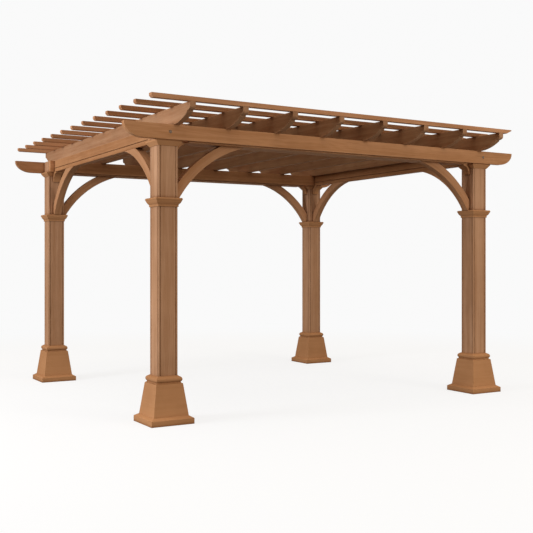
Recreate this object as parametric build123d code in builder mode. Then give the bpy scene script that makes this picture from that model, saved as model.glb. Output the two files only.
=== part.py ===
# Free-standing timber pergola: four boxed posts on tapered plinths, double long
# beams, arched knee braces, eight rafters with shaped tails, thirteen shade slats.
# Millimetres, +Z up, X along the long beams, origin on the ground at the middle.
import os
from math import hypot, sqrt
from build123d import *

os.makedirs("parts", exist_ok=True)

# Driving dimensions: footprint and heights
post_spacing_x = 3100.0
post_spacing_y = 2705.0
beam_top_height = 2190.0
collar_top_height = 1657.0

# Posts
post_width = 154.0
groove_width = 6.0
groove_depth = 4.0
groove_inset = 16.0

# Plinth round the foot of each post, its reaches measured out from the post
plate_reach = 93.0
plate_edge_height = 42.0
plate_bevel_height = 18.0
skirt_foot_reach = 62.0
skirt_top_reach = 30.0
skirt_top_height = 306.0
shoulder_radius = 12.0
ring_reach = 27.0
ring_top_reach = 14.0
ring_height = 46.0
ring_cap_height = 8.0

# Collar under the braces
collar_reach = 29.0
collar_lip_height = 19.0
collar_lip_round = 4.0
collar_cove_height = 30.0
collar_cove_radius = 60.0
collar_bead_reach = 6.0
collar_bead_height = 16.0

# Cap moulding and corbels at the head of each post
cap_reach = 27.0
cap_foot_reach = 3.0
cap_flare_height = 30.0
cap_lip_height = 12.0
corbel_reach = 84.0
corbel_drop = 97.0
corbel_nose = 14.0
corbel_thickness = 70.0

# Long beams, two boards with the posts between them
beam_height = 110.0
beam_board_thickness = 44.0
beam_overhang = 361.0
beam_end_length = 158.0
beam_end_land = 6.0
soffit_thickness = 10.0
soffit_lap = 14.0

# Side beams, one board over a strip
side_beam_thickness = 64.0
side_strip_height = 33.0
side_groove_height = 5.0
side_groove_depth = 8.0

# Arched braces
brace_depth = 72.0
brace_thickness = 66.0
brace_inner_radius = 905.0
brace_foot_run = 33.0
brace_head_run = 640.0

# Rafters
rafter_count = 8
rafter_thickness = 46.0
rafter_height = 130.0
rafter_length = 3490.0
rafter_row_inset = 50.0
tail_end_height = 34.0
tail_nose_length = 46.0
tail_nose_drop = 24.0
tail_step = 8.0
tail_sweep_length = 230.0

# Shade slats
slat_count = 13
slat_width = 46.0
slat_height = 34.0
slat_length = 3442.0
slat_row_shift = -95.0
slat_left_cut = 14.0
slat_right_cut = 55.0
slat_right_tip = 8.0

# Derived sizes
half_x = post_spacing_x / 2
half_y = post_spacing_y / 2
half_post = post_width / 2
beam_bottom = beam_top_height - beam_height
rafter_top = beam_top_height + rafter_height
skirt_base = plate_edge_height + plate_bevel_height
ring_top = skirt_top_height + ring_height
soffit_bottom = beam_bottom - soffit_thickness
beam_half_length = half_x + beam_overhang
post_inner_x = half_x - half_post
post_inner_y = half_y - half_post

corners = {
    "front_left": (-1, -1),
    "front_right": (1, -1),
    "back_left": (-1, 1),
    "back_right": (1, 1),
}
ends = {"front": -1, "back": 1}
sides = {"left": -1, "right": 1}
quarter_turn = 90


def save(piece, name):
    # Label a finished piece and write it out under its own name.
    piece.label = name
    export_step(piece, "parts/" + name + ".step")


def save_at_posts(piece, name):
    # Write one copy of a piece made at the origin for each of the four posts.
    for corner, (sign_x, sign_y) in corners.items():
        place = Location((sign_x * half_x, sign_y * half_y, 0))
        save(piece.moved(place), name + corner)


def post_outline(height):
    # Square path round a post at one height, starting in the middle of a side.
    return Wire.make_polygon([
        Vector(0, -half_post, height),
        Vector(half_post, -half_post, height),
        Vector(half_post, half_post, height),
        Vector(-half_post, half_post, height),
        Vector(-half_post, -half_post, height),
    ])


# Plane in which mouldings are drawn: first axis out from the post face, second up
moulding_plane = Plane(origin=(0, -half_post, 0), x_dir=(0, -1, 0), z_dir=(-1, 0, 0))

# Post: square box with a groove beside every arris on all four faces
with BuildPart() as post:
    with BuildSketch(Plane.XY):
        Rectangle(post_width, post_width)
        groove_span = post_width - 2 * groove_inset
        groove_row = post_width - groove_depth
        with GridLocations(groove_span, groove_row, 2, 2):
            Rectangle(groove_width, groove_depth, mode=Mode.SUBTRACT)
        with GridLocations(groove_row, groove_span, 2, 2):
            Rectangle(groove_depth, groove_width, mode=Mode.SUBTRACT)
    extrude(amount=beam_top_height)

save_at_posts(post.part, "post_")

# Plinth: bevelled plate, tapered skirt with a rounded shoulder and a swelling
# ring, one outline run round the post with mitred corners
shoulder_start = (skirt_top_reach, skirt_top_height - shoulder_radius)
shoulder_end = (skirt_top_reach - shoulder_radius, skirt_top_height)
ring_middle = skirt_top_height + (ring_height - ring_cap_height) / 2
ring_edge = ring_top - ring_cap_height

with BuildPart() as plinth:
    with BuildSketch(moulding_plane):
        with BuildLine():
            Polyline(
                (0, ring_top),
                (0, 0),
                (plate_reach, 0),
                (plate_reach, plate_edge_height),
                (skirt_foot_reach, skirt_base),
                shoulder_start,
            )
            RadiusArc(shoulder_start, shoulder_end, shoulder_radius)
            ThreePointArc(shoulder_end, (ring_reach, ring_middle), (ring_top_reach, ring_edge))
            Line((ring_top_reach, ring_edge), (0, ring_top))
        make_face()
    sweep(path=post_outline(0), transition=Transition.RIGHT)

save_at_posts(plinth.part, "plinth_")

# Collar: small bead against the post, cove swept out to a rounded lip
collar_lip_bottom = collar_top_height - collar_lip_height
collar_bead_top = collar_lip_bottom - collar_cove_height
collar_bottom = collar_bead_top - collar_bead_height
collar_lip_middle = collar_top_height - collar_lip_height / 2

with BuildPart() as collar:
    with BuildSketch(moulding_plane):
        with BuildLine():
            Polyline(
                (0, collar_top_height),
                (0, collar_bottom),
                (collar_bead_reach, collar_bottom),
                (collar_bead_reach, collar_bead_top),
            )
            RadiusArc(
                (collar_bead_reach, collar_bead_top),
                (collar_reach - collar_lip_round, collar_lip_bottom),
                -collar_cove_radius,
            )
            ThreePointArc(
                (collar_reach - collar_lip_round, collar_lip_bottom),
                (collar_reach, collar_lip_middle),
                (collar_reach - collar_lip_round, collar_top_height),
            )
            Line((collar_reach - collar_lip_round, collar_top_height), (0, collar_top_height))
        make_face()
    sweep(path=post_outline(collar_bottom), transition=Transition.RIGHT)

save_at_posts(collar.part, "collar_")

# Post head: cap moulding under the beam boards, flared out to a square lip, and
# a hollow-curved corbel on each of the two inner faces
cap_lip_bottom = beam_bottom - cap_lip_height
cap_bottom = cap_lip_bottom - cap_flare_height
corbel_face = half_post + corbel_reach
corbel_foot = beam_bottom - corbel_drop

with BuildPart() as cap:
    with BuildSketch(Plane.XY.offset(cap_bottom)):
        Rectangle(post_width + 2 * cap_foot_reach, post_width + 2 * cap_foot_reach)
    with BuildSketch(Plane.XY.offset(cap_lip_bottom)):
        Rectangle(post_width + 2 * cap_reach, post_width + 2 * cap_reach)
    loft()
    with BuildSketch(Plane.XY.offset(cap_lip_bottom)):
        Rectangle(post_width + 2 * cap_reach, post_width + 2 * cap_reach)
    extrude(amount=cap_lip_height)
    with BuildSketch(Plane.XY.offset(cap_bottom)):
        Rectangle(post_width, post_width)
    extrude(amount=beam_bottom - cap_bottom, mode=Mode.SUBTRACT)

with BuildPart() as corbel:
    with BuildSketch(Plane.XZ):
        with BuildLine():
            Polyline(
                (corbel_face, beam_bottom - corbel_nose),
                (corbel_face, beam_bottom),
                (half_post, beam_bottom),
                (half_post, corbel_foot),
                (half_post + corbel_nose, corbel_foot),
            )
            RadiusArc(
                (half_post + corbel_nose, corbel_foot),
                (corbel_face, beam_bottom - corbel_nose),
                corbel_drop - corbel_nose,
            )
        make_face()
    extrude(amount=corbel_thickness / 2, both=True)

head_turns = {"front_left": 0, "front_right": 1, "back_right": 2, "back_left": 3}
for corner, (sign_x, sign_y) in corners.items():
    with BuildPart() as post_head:
        add(cap.part)
        add(corbel.part, rotation=(0, 0, quarter_turn * head_turns[corner]))
        add(corbel.part, rotation=(0, 0, quarter_turn * (head_turns[corner] + 1)))
    place = Location((sign_x * half_x, sign_y * half_y, 0))
    save(post_head.part.moved(place), "post_head_" + corner)

# Brace: a ring sector whose underside passes through a foot point on the collar
# and a head point under the beam
brace_rise = beam_bottom - collar_top_height
chord_run = brace_head_run - brace_foot_run
chord = hypot(chord_run, brace_rise)
centre_offset = sqrt(brace_inner_radius ** 2 - chord ** 2 / 4)
brace_centre_run = brace_foot_run + chord_run / 2 + centre_offset * brace_rise / chord
brace_centre_height = collar_top_height + brace_rise / 2 - centre_offset * chord_run / chord


def arched_brace(top_height):
    # Brace from the collar up to the given height, its back against the post.
    with BuildPart() as brace:
        with BuildSketch(Plane.XZ):
            with Locations((brace_centre_run, brace_centre_height)):
                Circle(brace_inner_radius + brace_depth)
                Circle(brace_inner_radius, mode=Mode.SUBTRACT)
            with Locations((0, collar_top_height)):
                Rectangle(
                    brace_head_run, top_height - collar_top_height,
                    align=(Align.MIN, Align.MIN), mode=Mode.INTERSECT,
                )
        extrude(amount=brace_thickness / 2, both=True)
    return brace.part


brace_to_soffit = arched_brace(soffit_bottom)
brace_to_beam = arched_brace(beam_bottom)
for corner, (sign_x, sign_y) in corners.items():
    turn_x = 0 if sign_x < 0 else 2 * quarter_turn
    turn_y = quarter_turn if sign_y < 0 else 3 * quarter_turn
    foot_x = Location((sign_x * post_inner_x, sign_y * half_y, 0))
    foot_y = Location((sign_x * half_x, sign_y * post_inner_y, 0))
    save(brace_to_soffit.rotate(Axis.Z, turn_x).moved(foot_x), "brace_x_" + corner)
    save(brace_to_beam.rotate(Axis.Z, turn_y).moved(foot_y), "brace_y_" + corner)

# Outer long boards: run past the posts, lower corners cut to a quarter ellipse
end_centre_run = beam_half_length - beam_end_length
end_land_height = beam_top_height - beam_end_land
with BuildPart() as long_board:
    with BuildSketch(Plane.XZ):
        with BuildLine():
            Polyline(
                (0, beam_bottom),
                (0, beam_top_height),
                (beam_half_length, beam_top_height),
                (beam_half_length, end_land_height),
            )
            EllipticalCenterArc(
                (end_centre_run, end_land_height), beam_end_length,
                end_land_height - beam_bottom,
                start_angle=3 * quarter_turn, arc_size=quarter_turn,
            )
            Line((end_centre_run, beam_bottom), (0, beam_bottom))
        make_face()
    extrude(amount=beam_board_thickness / 2, both=True)
    mirror(about=Plane.YZ)

# Inner long boards: stop flush with the outer faces of the posts
with BuildPart() as inner_board:
    with BuildSketch(Plane.XY.offset(beam_bottom)):
        Rectangle(post_spacing_x + post_width, beam_board_thickness)
    extrude(amount=beam_height)

# Long soffits: thin boards that close the gap between two beam boards
with BuildPart() as soffit:
    with BuildSketch(Plane.XY.offset(soffit_bottom)):
        Rectangle(2 * (post_inner_x - corbel_reach), post_width + 2 * soffit_lap)
    extrude(amount=soffit_thickness)

outer_board_y = half_y + half_post + beam_board_thickness / 2
inner_board_y = half_y - half_post - beam_board_thickness / 2
for end, sign_y in ends.items():
    save(long_board.part.moved(Location((0, sign_y * outer_board_y, 0))), end + "_beam_outer")
    save(inner_board.part.moved(Location((0, sign_y * inner_board_y, 0))), end + "_beam_inner")
    save(soffit.part.moved(Location((0, sign_y * half_y, 0))), end + "_soffit")

# Side beams: one deep board with a rebated lower edge and a strip under it,
# between the inner long boards
side_beam_length = 2 * (inner_board_y - beam_board_thickness / 2)
side_strip_top = beam_bottom + side_strip_height
with BuildPart() as side_beam:
    with BuildSketch(Plane.XY.offset(side_strip_top)):
        Rectangle(side_beam_thickness - 2 * side_groove_depth, side_beam_length)
    extrude(amount=side_groove_height)
    with BuildSketch(Plane.XY.offset(side_strip_top + side_groove_height)):
        Rectangle(side_beam_thickness, side_beam_length)
    extrude(amount=beam_height - side_strip_height - side_groove_height)

with BuildPart() as side_strip:
    with BuildSketch(Plane.XY.offset(beam_bottom)):
        Rectangle(side_beam_thickness, side_beam_length)
    extrude(amount=side_strip_height)

for side, sign_x in sides.items():
    save(side_beam.part.moved(Location((sign_x * half_x, 0, 0))), side + "_beam")
    save(side_strip.part.moved(Location((sign_x * half_x, 0, 0))), side + "_beam_strip")

# Rafter: both tails cut with a rounded nose, a small step and a long flat sweep
rafter_half = rafter_length / 2
nose_top = rafter_top - tail_end_height
nose_bottom = nose_top - tail_nose_drop
step_bottom = nose_bottom - tail_step
nose_inner = rafter_half - tail_nose_length
sweep_inner = nose_inner - tail_sweep_length

with BuildPart() as rafter:
    with BuildSketch(Plane.YZ):
        with BuildLine():
            Polyline((0, beam_top_height), (0, rafter_top), (rafter_half, rafter_top),
                     (rafter_half, nose_top))
            EllipticalCenterArc(
                (nose_inner, nose_top), tail_nose_length, tail_nose_drop,
                start_angle=3 * quarter_turn, arc_size=quarter_turn,
            )
            Line((nose_inner, nose_bottom), (nose_inner, step_bottom))
            Line((0, beam_top_height), (sweep_inner, beam_top_height))
            TangentArc((sweep_inner, beam_top_height), (nose_inner, step_bottom), tangent=(1, 0))
        make_face()
    extrude(amount=rafter_thickness / 2, both=True)
    mirror(about=Plane.XZ)

rafter_edge = half_x - rafter_row_inset
rafter_pitch = 2 * rafter_edge / (rafter_count - 1)
for index in range(rafter_count):
    place = Location((-rafter_edge + index * rafter_pitch, 0, 0))
    save(rafter.part.moved(place), "rafter_%d" % (index + 1))

# Slats: a row laid across the rafters, the underside of each end cut back, a little
# at the left and in a long bevel at the right
slat_left = slat_row_shift - slat_length / 2
slat_right = slat_row_shift + slat_length / 2
slat_top = rafter_top + slat_height
slat_pitch = (rafter_length - slat_width) / (slat_count - 1)
with BuildPart() as slat:
    with BuildSketch(Plane.XZ):
        with BuildLine():
            Polyline(
                (slat_left + slat_left_cut, rafter_top),
                (slat_left, rafter_top + slat_left_cut),
                (slat_left, slat_top),
                (slat_right, slat_top),
                (slat_right, slat_top - slat_right_tip),
                (slat_right - slat_right_cut, rafter_top),
                close=True,
            )
        make_face()
    extrude(amount=slat_width / 2, both=True)

with BuildPart() as slats:
    with GridLocations(0, slat_pitch, 1, slat_count):
        add(slat.part)

save(slats.part, "slats")
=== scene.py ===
from math import cos, pi, radians, sin, tau

import bmesh
import bpy
from mathutils import Matrix, Vector


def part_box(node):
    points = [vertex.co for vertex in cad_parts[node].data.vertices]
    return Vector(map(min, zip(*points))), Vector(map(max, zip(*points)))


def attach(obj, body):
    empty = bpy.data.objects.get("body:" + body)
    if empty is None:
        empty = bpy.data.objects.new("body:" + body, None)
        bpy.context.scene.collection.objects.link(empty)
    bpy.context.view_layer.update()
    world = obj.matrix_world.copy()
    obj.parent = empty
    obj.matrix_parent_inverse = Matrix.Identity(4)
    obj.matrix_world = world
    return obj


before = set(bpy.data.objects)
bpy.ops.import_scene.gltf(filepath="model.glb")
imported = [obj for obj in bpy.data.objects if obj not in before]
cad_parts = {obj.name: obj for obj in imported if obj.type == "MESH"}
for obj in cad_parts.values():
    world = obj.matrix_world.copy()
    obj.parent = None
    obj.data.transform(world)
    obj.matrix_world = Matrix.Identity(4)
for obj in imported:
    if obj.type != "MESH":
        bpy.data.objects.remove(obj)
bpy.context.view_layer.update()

# Counts and the width of a slat, the same as in the solids
rafter_count = 8
slat_count = 13
slat_width = 0.046

# Places taken from the frame
post_lo, post_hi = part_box("post_front_right")
beam_lo, beam_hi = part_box("front_beam_outer")
_, inner_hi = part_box("front_beam_inner")
_, strip_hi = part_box("left_beam_strip")
rafter_lo, rafter_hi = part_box("rafter_1")
last_rafter_lo, last_rafter_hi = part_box("rafter_8")
slats_lo, slats_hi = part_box("slats")
post_x = (post_lo.x + post_hi.x) / 2
post_y = (post_lo.y + post_hi.y) / 2
half_post = (post_hi.x - post_lo.x) / 2
beam_middle = (beam_lo.z + beam_hi.z) / 2
rafter_x = (rafter_lo.x + rafter_hi.x) / 2
rafter_pitch = ((last_rafter_lo.x + last_rafter_hi.x) / 2 - rafter_x) / (rafter_count - 1)
slat_pitch = (slats_hi.y - slats_lo.y - slat_width) / (slat_count - 1)
slat_y = slats_lo.y + slat_width / 2

# Arched braces, the same arc as the solids: its centre out from the post face and up
arch_centre_run = 0.8087
arch_centre_height = 1.1909
arch_middle_radius = 0.941

# Stain on each kind of timber: its light and its dark grain, linear red, green and blue.
# They differ as painted light and shade on one stain, to match the light in the photograph; the real pergola
# likely has one stain.
post_stain_and_painted_light = ((0.54, 0.300, 0.170), (0.41, 0.205, 0.100))
trim_stain_and_painted_light = ((0.53, 0.265, 0.123), (0.41, 0.185, 0.072))
brace_stain_and_painted_light = ((0.51, 0.260, 0.130), (0.38, 0.170, 0.070))
long_beam_stain_and_painted_light = ((0.55, 0.275, 0.130), (0.41, 0.184, 0.075))
side_beam_stain_and_painted_light = ((0.46, 0.220, 0.098), (0.34, 0.145, 0.056))
rafter_stain_and_painted_light = ((0.44, 0.240, 0.128), (0.33, 0.155, 0.072))
slat_stain_and_painted_light = ((0.57, 0.285, 0.142), (0.43, 0.195, 0.088))
# Colour of bare cedar, used for worn edges and for the painted edge highlight
cedar_bare_and_highlight = (0.62, 0.37, 0.220)
bronze_dark = (0.15, 0.105, 0.070)
bronze_light = (0.24, 0.165, 0.110)
# Colour of the painted shade in joints, grooves and under things
joint_shade_tint = (0.42, 0.34, 0.26)

# Surface of the cedar: gloss, dullness, height of the grain, and how much wear and painted edge highlight
# shows
cedar_gloss = 0.08
cedar_roughness = 0.70
fibre_roughness = 0.10
worn_roughness = 0.12
grain_relief = 0.25
grain_height = 0.0006
wear_and_highlight_amount = 0.5

# Contrast of the grain: strong on plain boards, weak on mouldings
board_contrast = 1.4
moulding_contrast = 0.6
plinth_contrast = 0.45


# Shader node helpers
def new_group(name, inputs, outputs):
    # Node group with named sockets: each is (socket name, kind, default).
    group = bpy.data.node_groups.new(name, "ShaderNodeTree")
    for label, kind, value in inputs:
        socket = group.interface.new_socket(label, in_out="INPUT", socket_type="NodeSocket" + kind)
        socket.default_value = value
    for label, kind in outputs:
        group.interface.new_socket(label, in_out="OUTPUT", socket_type="NodeSocket" + kind)
    return group, group.nodes.new("NodeGroupInput").outputs, group.nodes.new("NodeGroupOutput").inputs


def feed(tree, socket, value):
    # Link an output socket into an input, or set the input to a plain value.
    if isinstance(value, bpy.types.NodeSocket):
        tree.links.new(value, socket)
    else:
        socket.default_value = value


def math_node(tree, operation, *values, clamp=False):
    node = tree.nodes.new("ShaderNodeMath")
    node.operation = operation
    node.use_clamp = clamp
    for socket, value in zip(node.inputs, values):
        feed(tree, socket, value)
    return node.outputs[0]


def vector_node(tree, operation, *values):
    node = tree.nodes.new("ShaderNodeVectorMath")
    node.operation = operation
    for socket, value in zip(node.inputs, values):
        feed(tree, socket, value)
    return node.outputs["Value" if operation in ("LENGTH", "DOT_PRODUCT") else "Vector"]


def noise_node(tree, place, scale, detail=2.0, roughness=0.5, distortion=0.0):
    node = tree.nodes.new("ShaderNodeTexNoise")
    feed(tree, node.inputs["Vector"], place)
    node.inputs["Scale"].default_value = scale
    node.inputs["Detail"].default_value = detail
    node.inputs["Roughness"].default_value = roughness
    node.inputs["Distortion"].default_value = distortion
    return node.outputs["Fac"]


def stretch_node(tree, value, low, high, new_low=0.0, new_high=1.0):
    # Map the range low..high to new_low..new_high, with a smooth clamp.
    node = tree.nodes.new("ShaderNodeMapRange")
    node.interpolation_type = "SMOOTHSTEP"
    for socket, number in zip(node.inputs, (value, low, high, new_low, new_high)):
        feed(tree, socket, number)
    return node.outputs["Result"]


def mix_colours(tree, factor, first, second, blend="MIX"):
    node = tree.nodes.new("ShaderNodeMix")
    node.data_type = "RGBA"
    node.blend_type = blend
    feed(tree, node.inputs["Factor"], factor)
    feed(tree, node.inputs["A"], first)
    feed(tree, node.inputs["B"], second)
    return node.outputs["Result"]


def split_vector(tree, value):
    node = tree.nodes.new("ShaderNodeSeparateXYZ")
    feed(tree, node.inputs[0], value)
    return node.outputs


def join_vector(tree, *values):
    node = tree.nodes.new("ShaderNodeCombineXYZ")
    for socket, value in zip(node.inputs, values):
        feed(tree, socket, value)
    return node.outputs[0]


def place_group(tree, group, **values):
    # Put a node group in a tree; keywords name its inputs with _ for each space.
    node = tree.nodes.new("ShaderNodeGroup")
    node.node_tree = group
    for label, value in values.items():
        feed(tree, node.inputs[label.replace("_", " ")], value)
    return node.outputs


# Effects shared by the cedar finishes
def make_board_choice():
    # A number from 0 to 1 and a shift of the grain for each cell that a place falls in.
    shift_reach = (3.0, 7.0, 5.0)
    group, given, result = new_group(
        "board_choice",
        [("Place", "Vector", (0, 0, 0)), ("First Cell", "Vector", (0, 0, 0)), ("Cell", "Vector", (1, 1, 1))],
        [("Choice", "Float"), ("Shift", "Vector")],
    )
    cells = vector_node(group, "DIVIDE", vector_node(group, "SUBTRACT", given["Place"], given["First Cell"]),
                        given["Cell"])
    number = vector_node(group, "FLOOR", vector_node(group, "ADD", cells, (0.5, 0.5, 0.5)))
    white = group.nodes.new("ShaderNodeTexWhiteNoise")
    white.noise_dimensions = "3D"
    feed(group, white.inputs["Vector"], number)
    feed(group, result["Choice"], white.outputs["Value"])
    feed(group, result["Shift"], vector_node(group, "MULTIPLY", white.outputs["Color"], shift_reach))
    return group


def make_cedar_grain():
    # Lengthwise cedar figure: the first axis of Place runs along the grain.
    wander_pace = (0.7, 5.0, 5.0)
    streak_pace = (0.8, 26.0, 26.0)
    fibre_pace = (9.0, 420.0, 420.0)
    wander_reach = 0.16
    heart_flatness = 0.35
    ring_sharpness = 2.5
    group, given, result = new_group(
        "cedar_grain",
        [("Place", "Vector", (0, 0, 0)), ("Shift", "Vector", (0, 0, 0)), ("Ring Width", "Float", 0.011)],
        [("Streak", "Float"), ("Ring", "Float"), ("Fibre", "Float")],
    )
    place = vector_node(group, "ADD", given["Place"], given["Shift"])
    wander = noise_node(group, vector_node(group, "MULTIPLY", place, wander_pace), scale=1.0)
    broad = noise_node(group, vector_node(group, "MULTIPLY", place, streak_pace), scale=1.0,
                       detail=4.0, roughness=0.55, distortion=0.3)
    feed(group, result["Streak"], stretch_node(group, broad, 0.30, 0.70))
    parts = split_vector(group, place)
    heart = join_vector(group, 0.0, parts[1], math_node(group, "MULTIPLY", parts[2], heart_flatness))
    reach = math_node(group, "ADD", vector_node(group, "LENGTH", heart),
                      math_node(group, "MULTIPLY", wander, wander_reach))
    turn = math_node(group, "MULTIPLY", math_node(group, "DIVIDE", reach, given["Ring Width"]), tau)
    wave = math_node(group, "MULTIPLY_ADD", math_node(group, "SINE", turn), 0.5, 0.5)
    feed(group, result["Ring"], math_node(group, "POWER", wave, ring_sharpness))
    fine = noise_node(group, vector_node(group, "MULTIPLY", place, fibre_pace), scale=1.0, roughness=0.6)
    feed(group, result["Fibre"], stretch_node(group, fine, 0.25, 0.75))
    return group


def make_edge_wear_and_highlight():
    # Thin broken band along convex edges, where the stain is rubbed lighter and an edge highlight is
    # painted.
    group, given, result = new_group(
        "edge_wear_and_highlight",
        [("Place", "Vector", (0, 0, 0)), ("Width", "Float", 0.004), ("Amount", "Float", 0.5)],
        [("Mask", "Float")],
    )
    rounded = group.nodes.new("ShaderNodeBevel")
    rounded.samples = 4
    feed(group, rounded.inputs["Radius"], given["Width"])
    surface = group.nodes.new("ShaderNodeNewGeometry")
    facing = vector_node(group, "DOT_PRODUCT", rounded.outputs["Normal"], surface.outputs["Normal"])
    edge = stretch_node(group, facing, 0.985, 0.86)
    patches = stretch_node(group, noise_node(group, given["Place"], scale=7.0, detail=3.0), 0.38, 0.62)
    feed(group, result["Mask"],
         math_node(group, "MULTIPLY", math_node(group, "MULTIPLY", edge, patches), given["Amount"]))
    return group


def make_joint_shade():
    # Painted shade where timbers meet and in the grooves: darker where ambient occlusion finds nearby
    # surfaces.
    group, given, result = new_group(
        "joint_shade", [("Reach", "Float", 0.03), ("Amount", "Float", 0.85)], [("Mask", "Float")])
    hollow = group.nodes.new("ShaderNodeAmbientOcclusion")
    hollow.samples = 6
    feed(group, hollow.inputs["Distance"], given["Reach"])
    deep = stretch_node(group, hollow.outputs["AO"], 0.92, 0.50)
    feed(group, result["Mask"], math_node(group, "MULTIPLY", deep, given["Amount"]))
    return group


def make_stain():
    # Stain over the grain: colour, roughness and relief. Darker boards turn redder too.
    streak_share = 0.52
    ring_share = 0.13
    fibre_share = 0.35
    middle = 0.5
    blotch_range = (0.90, 1.08)
    board_range = (0.88, 1.12)
    green_power = 1.15
    blue_power = 1.3
    ring_relief = 0.6
    fibre_relief = 0.4
    group, given, result = new_group(
        "cedar_stain",
        [("Place", "Vector", (0, 0, 0)), ("Streak", "Float", 0.5), ("Ring", "Float", 0.5),
         ("Fibre", "Float", 0.5), ("Choice", "Float", 0.5), ("Wear", "Float", 0.0),
         ("Joint", "Float", 0.0), ("Figure", "Float", 1.0),
         ("Light", "Color", (*post_stain_and_painted_light[0], 1)), ("Dark", "Color", (*post_stain_and_painted_light[1], 1)),
         ("BareHighlight", "Color", (*cedar_bare_and_highlight, 1))],
        [("Colour", "Color"), ("Roughness", "Float"), ("Relief", "Float")],
    )
    figure = math_node(group, "MULTIPLY_ADD", given["Streak"], streak_share,
                       math_node(group, "MULTIPLY", given["Ring"], ring_share))
    figure = math_node(group, "MULTIPLY_ADD", given["Fibre"], fibre_share, figure)
    figure = math_node(group, "SUBTRACT", figure, middle)
    figure = math_node(group, "MULTIPLY_ADD", figure, given["Figure"], middle, clamp=True)
    wood = mix_colours(group, figure, given["Light"], given["Dark"])
    clouds = noise_node(group, given["Place"], scale=1.6, detail=4.0, roughness=0.6)
    blotch = stretch_node(group, clouds, 0.30, 0.70, *blotch_range)
    board = stretch_node(group, given["Choice"], 0.0, 1.0, *board_range)
    shade = math_node(group, "MULTIPLY", blotch, board)
    shade_colour = join_vector(group, shade, math_node(group, "POWER", shade, green_power),
                               math_node(group, "POWER", shade, blue_power))
    wood = mix_colours(group, 1.0, wood, shade_colour, "MULTIPLY")
    # Convex edges turn toward bare cedar: rubbed wear and a painted highlight
    wood = mix_colours(group, given["Wear"], wood, given["BareHighlight"])
    # Painted shade: joints and grooves darkened by the ambient occlusion mask
    joint_shaded = mix_colours(group, 1.0, wood, (*joint_shade_tint, 1), "MULTIPLY")
    feed(group, result["Colour"], mix_colours(group, given["Joint"], wood, joint_shaded))
    dull = math_node(group, "MULTIPLY_ADD", given["Fibre"], fibre_roughness, cedar_roughness)
    feed(group, result["Roughness"], math_node(group, "MULTIPLY_ADD", given["Wear"], worn_roughness, dull))
    raised = math_node(group, "MULTIPLY", given["Fibre"], fibre_relief)
    feed(group, result["Relief"], math_node(group, "MULTIPLY_ADD", given["Ring"], ring_relief, raised))
    return group


def make_mitred_run():
    # Place along a moulding that turns round a square post, so its grain does too.
    group, given, result = new_group(
        "mitred_run", [("Place", "Vector", (0, 0, 0)), ("Facing", "Vector", (0, 0, 1))], [("Run", "Vector")])
    place = split_vector(group, given["Place"])
    facing = split_vector(group, vector_node(group, "ABSOLUTE", given["Facing"]))
    side = math_node(group, "GREATER_THAN", facing[0], facing[1])
    straight = join_vector(group, place[0], place[1], place[2])
    turned = join_vector(group, place[1], place[0], place[2])
    pick = group.nodes.new("ShaderNodeMix")
    pick.data_type = "VECTOR"
    feed(group, pick.inputs["Factor"], side)
    feed(group, [s for s in pick.inputs if s.name == "A" and s.type == "VECTOR"][0], straight)
    feed(group, [s for s in pick.inputs if s.name == "B" and s.type == "VECTOR"][0], turned)
    feed(group, result["Run"], [s for s in pick.outputs if s.type == "VECTOR"][0])
    return group


def make_arched_run():
    # Place along an arched brace: arc length, radius and side, for braces along X or Y.
    group, given, result = new_group(
        "arched_run",
        [("Along", "Float", 0), ("Across", "Float", 0), ("Height", "Float", 0),
         ("Post Face", "Float", 1.0), ("Centre Run", "Float", arch_centre_run),
         ("Centre Height", "Float", arch_centre_height), ("Radius", "Float", arch_middle_radius)],
        [("Run", "Vector")],
    )
    run = math_node(group, "SUBTRACT", given["Post Face"], math_node(group, "ABSOLUTE", given["Along"]))
    out = math_node(group, "SUBTRACT", given["Centre Run"], run)
    up = math_node(group, "SUBTRACT", given["Height"], given["Centre Height"])
    angle = math_node(group, "ARCTAN2", up, out)
    radius = vector_node(group, "LENGTH", join_vector(group, out, up, 0.0))
    arc = math_node(group, "MULTIPLY", angle, given["Radius"])
    feed(group, result["Run"], join_vector(group, arc, radius, given["Across"]))
    return group


board_choice = make_board_choice()
cedar_grain = make_cedar_grain()
edge_wear_and_highlight = make_edge_wear_and_highlight()
joint_shade = make_joint_shade()
cedar_stain = make_stain()
mitred_run = make_mitred_run()
arched_run = make_arched_run()

# Order in which the axes are read so that the first runs along the grain
grain_orders = {"X": (0, 1, 2), "Y": (1, 0, 2), "Z": (2, 0, 1)}


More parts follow.
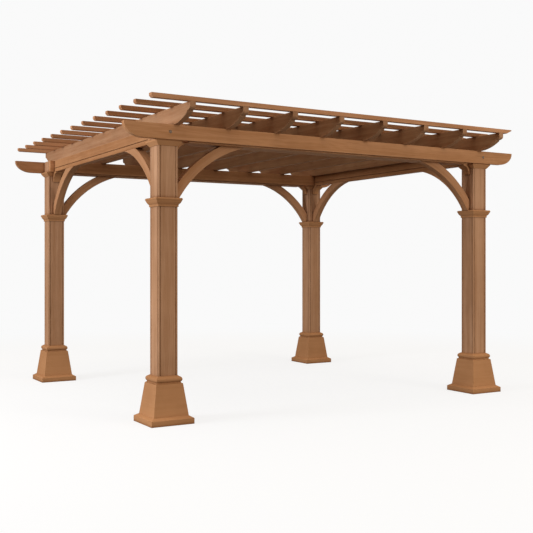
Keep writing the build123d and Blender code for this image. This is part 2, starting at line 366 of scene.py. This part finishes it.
def cedar_finish(name, grain, first_cell, cell, colours, contrast=board_contrast):
    # Stained cedar: grain is X, Y or Z, "mitred", or "arch X" or "arch Y".
    light, dark = colours
    material = bpy.data.materials.new(name)
    material.use_nodes = True
    tree = material.node_tree
    shader = tree.nodes["Principled BSDF"]
    place_node = tree.nodes.new("ShaderNodeTexCoord")
    place = place_node.outputs["Object"]
    axes = split_vector(tree, place)
    if grain == "mitred":
        run = place_group(tree, mitred_run, Place=place, Facing=place_node.outputs["Normal"])["Run"]
    elif grain == "arch X":
        run = place_group(tree, arched_run, Along=axes[0], Across=axes[1], Height=axes[2],
                          Post_Face=post_x - half_post)["Run"]
    elif grain == "arch Y":
        run = place_group(tree, arched_run, Along=axes[1], Across=axes[0], Height=axes[2],
                          Post_Face=-post_y - half_post)["Run"]
    else:
        run = join_vector(tree, *[axes[i] for i in grain_orders[grain]])
    board = place_group(tree, board_choice, Place=place, First_Cell=first_cell, Cell=cell)
    figure = place_group(tree, cedar_grain, Place=run, Shift=board["Shift"])
    # Lighter convex edges: rubbed wear and a painted highlight
    worn_and_lit_edges = place_group(tree, edge_wear_and_highlight, Place=place, Amount=wear_and_highlight_amount)
    # Painted shade in joints and grooves, from ambient occlusion
    joint_shading = place_group(tree, joint_shade)
    stain = place_group(tree, cedar_stain, Place=place, Streak=figure["Streak"], Ring=figure["Ring"],
                        Fibre=figure["Fibre"], Choice=board["Choice"], Wear=worn_and_lit_edges["Mask"],
                        Joint=joint_shading["Mask"], Figure=contrast, Light=(*light, 1), Dark=(*dark, 1))
    shader.inputs["Specular IOR Level"].default_value = cedar_gloss
    bump = tree.nodes.new("ShaderNodeBump")
    bump.inputs["Strength"].default_value = grain_relief
    bump.inputs["Distance"].default_value = grain_height
    feed(tree, bump.inputs["Height"], stain["Relief"])
    feed(tree, shader.inputs["Base Color"], stain["Colour"])
    feed(tree, shader.inputs["Roughness"], stain["Roughness"])
    feed(tree, shader.inputs["Normal"], bump.outputs["Normal"])
    return material


def bronze_finish():
    # Dark oiled bronze of the bolts, mottled and rubbed brighter in patches.
    bronze_metal = 0.6
    bronze_roughness = 0.55
    mottle_roughness = 0.2
    material = bpy.data.materials.new("oiled_bronze")
    material.use_nodes = True
    tree = material.node_tree
    shader = tree.nodes["Principled BSDF"]
    place = tree.nodes.new("ShaderNodeTexCoord").outputs["Object"]
    mottle = stretch_node(tree, noise_node(tree, place, scale=90.0, detail=3.0), 0.35, 0.65)
    colour = mix_colours(tree, mottle, (*bronze_dark, 1), (*bronze_light, 1))
    dull = math_node(tree, "MULTIPLY_ADD", mottle, mottle_roughness, bronze_roughness)
    feed(tree, shader.inputs["Base Color"], colour)
    shader.inputs["Metallic"].default_value = bronze_metal
    feed(tree, shader.inputs["Roughness"], dull)
    return material


# Cells that tell one board from the next: middle of the first, then size. Undivided is
# longer than the pergola. Borders of the beam cells also cross both soffits and the
# back inner board.
undivided = 50
side_cell_height = 0.2
four_posts = ((-post_x, -abs(post_y), 0), (2 * post_x, 2 * abs(post_y), undivided))
beam_cells = ((0, -abs(post_y) - half_post, 0), (undivided, 2 * half_post, undivided))
side_beam_cells = ((-post_x, 0, strip_hi.z - side_cell_height / 2),
                   (2 * post_x, undivided, side_cell_height))
rafter_cells = ((rafter_x, 0, 0), (rafter_pitch, undivided, undivided))
slat_cells = ((0, slat_y, 0), (undivided, slat_pitch, undivided))

# Finishes by the start of a piece's name
finishes = {
    "post_": cedar_finish("post_cedar", "Z", *four_posts, post_stain_and_painted_light),
    "plinth_": cedar_finish("plinth_cedar", "mitred", *four_posts, trim_stain_and_painted_light, plinth_contrast),
    "collar_": cedar_finish("collar_cedar", "mitred", *four_posts, trim_stain_and_painted_light, moulding_contrast),
    "post_head_": cedar_finish("post_head_cedar", "mitred", *four_posts, trim_stain_and_painted_light, moulding_contrast),
    "brace_x_": cedar_finish("brace_x_cedar", "arch X", *four_posts, brace_stain_and_painted_light),
    "brace_y_": cedar_finish("brace_y_cedar", "arch Y", *four_posts, brace_stain_and_painted_light),
    "front_": cedar_finish("long_beam_cedar", "X", *beam_cells, long_beam_stain_and_painted_light),
    "left_": cedar_finish("side_beam_cedar", "Y", *side_beam_cells, side_beam_stain_and_painted_light),
    "rafter_": cedar_finish("rafter_cedar", "Y", *rafter_cells, rafter_stain_and_painted_light),
    "slats": cedar_finish("slat_cedar", "X", *slat_cells, slat_stain_and_painted_light),
}
finishes["back_"] = finishes["front_"]
finishes["right_"] = finishes["left_"]


def finish_for(node_name):
    # The longest matching start of a name wins, so post_head_ beats post_.
    start = max((s for s in finishes if node_name.startswith(s)), key=len)
    return finishes[start]


# Softened arrises on every sawn piece
arris_width = 0.0025
arris_angle = radians(28)
arris_segments = 2
weld_distance = 0.00002
for node_name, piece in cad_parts.items():
    piece.data.materials.clear()
    piece.data.materials.append(finish_for(node_name))
    weld = piece.modifiers.new("joined_corners", "WELD")
    weld.merge_threshold = weld_distance
    arris = piece.modifiers.new("eased_arris", "BEVEL")
    arris.width = arris_width
    arris.segments = arris_segments
    arris.limit_method = "ANGLE"
    arris.angle_limit = arris_angle
    arris.harden_normals = True
    flow = piece.modifiers.new("even_shading", "WEIGHTED_NORMAL")
    flow.keep_sharp = True


# Fasteners
def turned_solid(mesh, outline, place, axis, sides=20):
    # Revolve an outline of (radius, height) points about an axis and add it to a mesh.
    turn = axis.to_track_quat("Z", "Y").to_matrix().to_4x4()
    rings = []
    for radius, height in outline:
        if radius == 0:
            rings.append([mesh.verts.new(Matrix.Translation(place) @ turn @ Vector((0, 0, height)))])
            continue
        rings.append([
            mesh.verts.new(Matrix.Translation(place) @ turn @ Vector(
                (radius * cos(tau * i / sides), radius * sin(tau * i / sides), height)))
            for i in range(sides)
        ])
    for low, high in zip(rings, rings[1:]):
        for i in range(sides):
            j = (i + 1) % sides
            corners = [low[i], low[j]] if len(low) > 1 else [low[0]]
            corners += [high[j], high[i]] if len(high) > 1 else [high[0]]
            mesh.faces.new(corners)


def add_piece(name, mesh, material, smooth=True):
    bmesh.ops.recalc_face_normals(mesh, faces=mesh.faces)
    data = bpy.data.meshes.new(name)
    mesh.to_mesh(data)
    mesh.free()
    for face in data.polygons:
        face.use_smooth = smooth
    data.materials.append(material)
    piece = bpy.data.objects.new(name, data)
    bpy.context.scene.collection.objects.link(piece)
    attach(piece, "root")


bronze = bronze_finish()
bolt_radius = 0.008
bolt_rise = 0.004
washer_radius = 0.0115
washer_rise = 0.002
nut_radius = 0.0095
nut_rise = 0.008
nut_sides = 6
dome_steps = 6

# Outlines as (radius, height) points: the bolt head is a low dome on a washer
washer_outline = [(0, 0), (washer_radius, 0), (washer_radius, washer_rise)]
dome_angles = [pi / 2 * step / dome_steps for step in range(dome_steps)]
dome_outline = [(bolt_radius * cos(a), washer_rise + bolt_rise * sin(a)) for a in dome_angles]
head_outline = washer_outline + dome_outline + [(0, washer_rise + bolt_rise)]
nut_outline = [(nut_radius, washer_rise), (nut_radius, nut_rise), (0, nut_rise)]

bolts = bmesh.new()
nuts = bmesh.new()
for side in (-1, 1):
    for sign_y, outer_face, inner_face in ((-1, beam_lo.y, inner_hi.y), (1, -beam_lo.y, -inner_hi.y)):
        outward = Vector((0, sign_y, 0))
        head_place = Vector((side * post_x, outer_face, beam_middle))
        nut_place = Vector((side * post_x, inner_face, beam_middle))
        turned_solid(bolts, head_outline, head_place, outward)
        turned_solid(nuts, washer_outline + nut_outline[:1], nut_place, -outward)
        turned_solid(nuts, nut_outline, nut_place, -outward, sides=nut_sides)
add_piece("beam_bolts", bolts, bronze)
add_piece("beam_nuts", nuts, bronze, smooth=False)


# Studio: pale floor that keeps the shadow, white surround, two soft panels near the
# height of the beams, so that the outer timbers shade the inner ones, and a weak sun
white_level = 0.955
fill_colour = (0.60, 0.51, 0.41)
fill_strength = 0.74
floor_bounce = 0.15
floor_glow = 0.77
floor_glow_colour = (0.985, 0.993, 1.0)
floor_shade = 0.26
floor_radius = 60.0
floor_sides = 96
fade_start = 3.5
fade_end = 7.5


def seen_directly(tree):
    # 1 for camera, glossy and transmission rays, 0 for light that bounces.
    path = tree.nodes.new("ShaderNodeLightPath").outputs
    seen = math_node(tree, "MAXIMUM", path["Is Camera Ray"], path["Is Glossy Ray"])
    return math_node(tree, "MAXIMUM", seen, path["Is Transmission Ray"])


def mix_shaders(tree, factor, first, second):
    node = tree.nodes.new("ShaderNodeMixShader")
    feed(tree, node.inputs[0], factor)
    tree.links.new(first, node.inputs[1])
    tree.links.new(second, node.inputs[2])
    return node.outputs[0]


def glow(tree, colour, strength):
    node = tree.nodes.new("ShaderNodeEmission")
    node.inputs["Color"].default_value = (*colour, 1)
    node.inputs["Strength"].default_value = strength
    return node.outputs[0]


def matt(tree, level):
    node = tree.nodes.new("ShaderNodeBsdfDiffuse")
    node.inputs["Color"].default_value = (level, level, level, 1)
    return node.outputs[0]


def make_floor():
    # Lit near the pergola, so that it takes the shadow, and plain white far off.
    mesh = bmesh.new()
    bmesh.ops.create_circle(mesh, cap_ends=True, segments=floor_sides, radius=floor_radius)
    data = bpy.data.meshes.new("studio_floor")
    mesh.to_mesh(data)
    mesh.free()
    floor = bpy.data.objects.new("studio_floor", data)
    bpy.context.scene.collection.objects.link(floor)
    material = bpy.data.materials.new("pale_floor")
    material.use_nodes = True
    tree = material.node_tree
    tree.nodes.remove(tree.nodes["Principled BSDF"])
    near = tree.nodes.new("ShaderNodeAddShader")
    tree.links.new(glow(tree, floor_glow_colour, floor_glow), near.inputs[0])
    tree.links.new(matt(tree, floor_shade), near.inputs[1])
    place = tree.nodes.new("ShaderNodeTexCoord").outputs["Object"]
    far = stretch_node(tree, vector_node(tree, "LENGTH", place), fade_start, fade_end)
    shown = mix_shaders(tree, far, near.outputs[0], glow(tree, (1, 1, 1), white_level))
    whole = mix_shaders(tree, seen_directly(tree), matt(tree, floor_bounce), shown)
    tree.links.new(whole, tree.nodes["Material Output"].inputs["Surface"])
    data.materials.append(material)


def make_surround():
    world = bpy.data.worlds.new("studio_surround")
    bpy.context.scene.world = world
    world.use_nodes = True
    tree = world.node_tree
    fill = tree.nodes["Background"]
    fill.inputs["Color"].default_value = (*fill_colour, 1)
    fill.inputs["Strength"].default_value = fill_strength
    white = tree.nodes.new("ShaderNodeBackground")
    white.inputs["Color"].default_value = (1, 1, 1, 1)
    white.inputs["Strength"].default_value = white_level
    shown = mix_shaders(tree, seen_directly(tree), fill.outputs[0], white.outputs[0])
    tree.links.new(shown, tree.nodes["World Output"].inputs["Surface"])


def place_lamp(name, lamp, place, colour):
    # Hang a lamp at a place, turned to the middle of the beams and hidden from the camera.
    lamp.color = colour
    holder = bpy.data.objects.new(name, lamp)
    holder.location = place
    holder.rotation_euler = (Vector(place) - Vector((0, 0, beam_middle))).to_track_quat("Z", "Y").to_euler()
    holder.visible_camera = False
    bpy.context.scene.collection.objects.link(holder)


def make_panel(name, place, width, height, power, colour):
    lamp = bpy.data.lights.new(name, "AREA")
    lamp.shape = "RECTANGLE"
    lamp.size = width
    lamp.size_y = height
    lamp.energy = power
    place_lamp(name, lamp, place, colour)


def make_overhead(name, place, strength, spread, colour):
    lamp = bpy.data.lights.new(name, "SUN")
    lamp.energy = strength
    lamp.angle = spread
    place_lamp(name, lamp, place, colour)


make_floor()
make_surround()
make_panel("panel_left", place=(-9.1, -0.6, beam_middle + 0.05), width=3.0, height=0.7, power=430,
           colour=(0.95, 1.0, 1.09))
make_panel("panel_front", place=(3.4, -10.0, beam_middle), width=3.0, height=0.5, power=290,
           colour=(1.0, 0.99, 0.97))
make_overhead("overhead", place=(-0.8, -1.2, 9.0), strength=0.7, spread=radians(50),
              colour=(1.0, 0.97, 0.93))

# Camera: level, at eye height, fitted to the posts and beams in the photograph
photo_size = 533
camera_place = (-4.1847, -7.3011, 1.190)
camera_turn = radians(30.6)
focal_pixels = 872.8
horizon_row = 261.4
sensor_width = 36.0

camera_data = bpy.data.cameras.new("studio_camera")
camera_data.sensor_width = sensor_width
camera_data.lens = focal_pixels / photo_size * sensor_width
camera_data.shift_y = (horizon_row - photo_size / 2) / photo_size
camera = bpy.data.objects.new("studio_camera", camera_data)
camera.location = camera_place
camera.rotation_euler = (radians(90), 0, -camera_turn)
bpy.context.scene.collection.objects.link(camera)
bpy.context.scene.camera = camera

bpy.context.scene.view_settings.view_transform = "Standard"
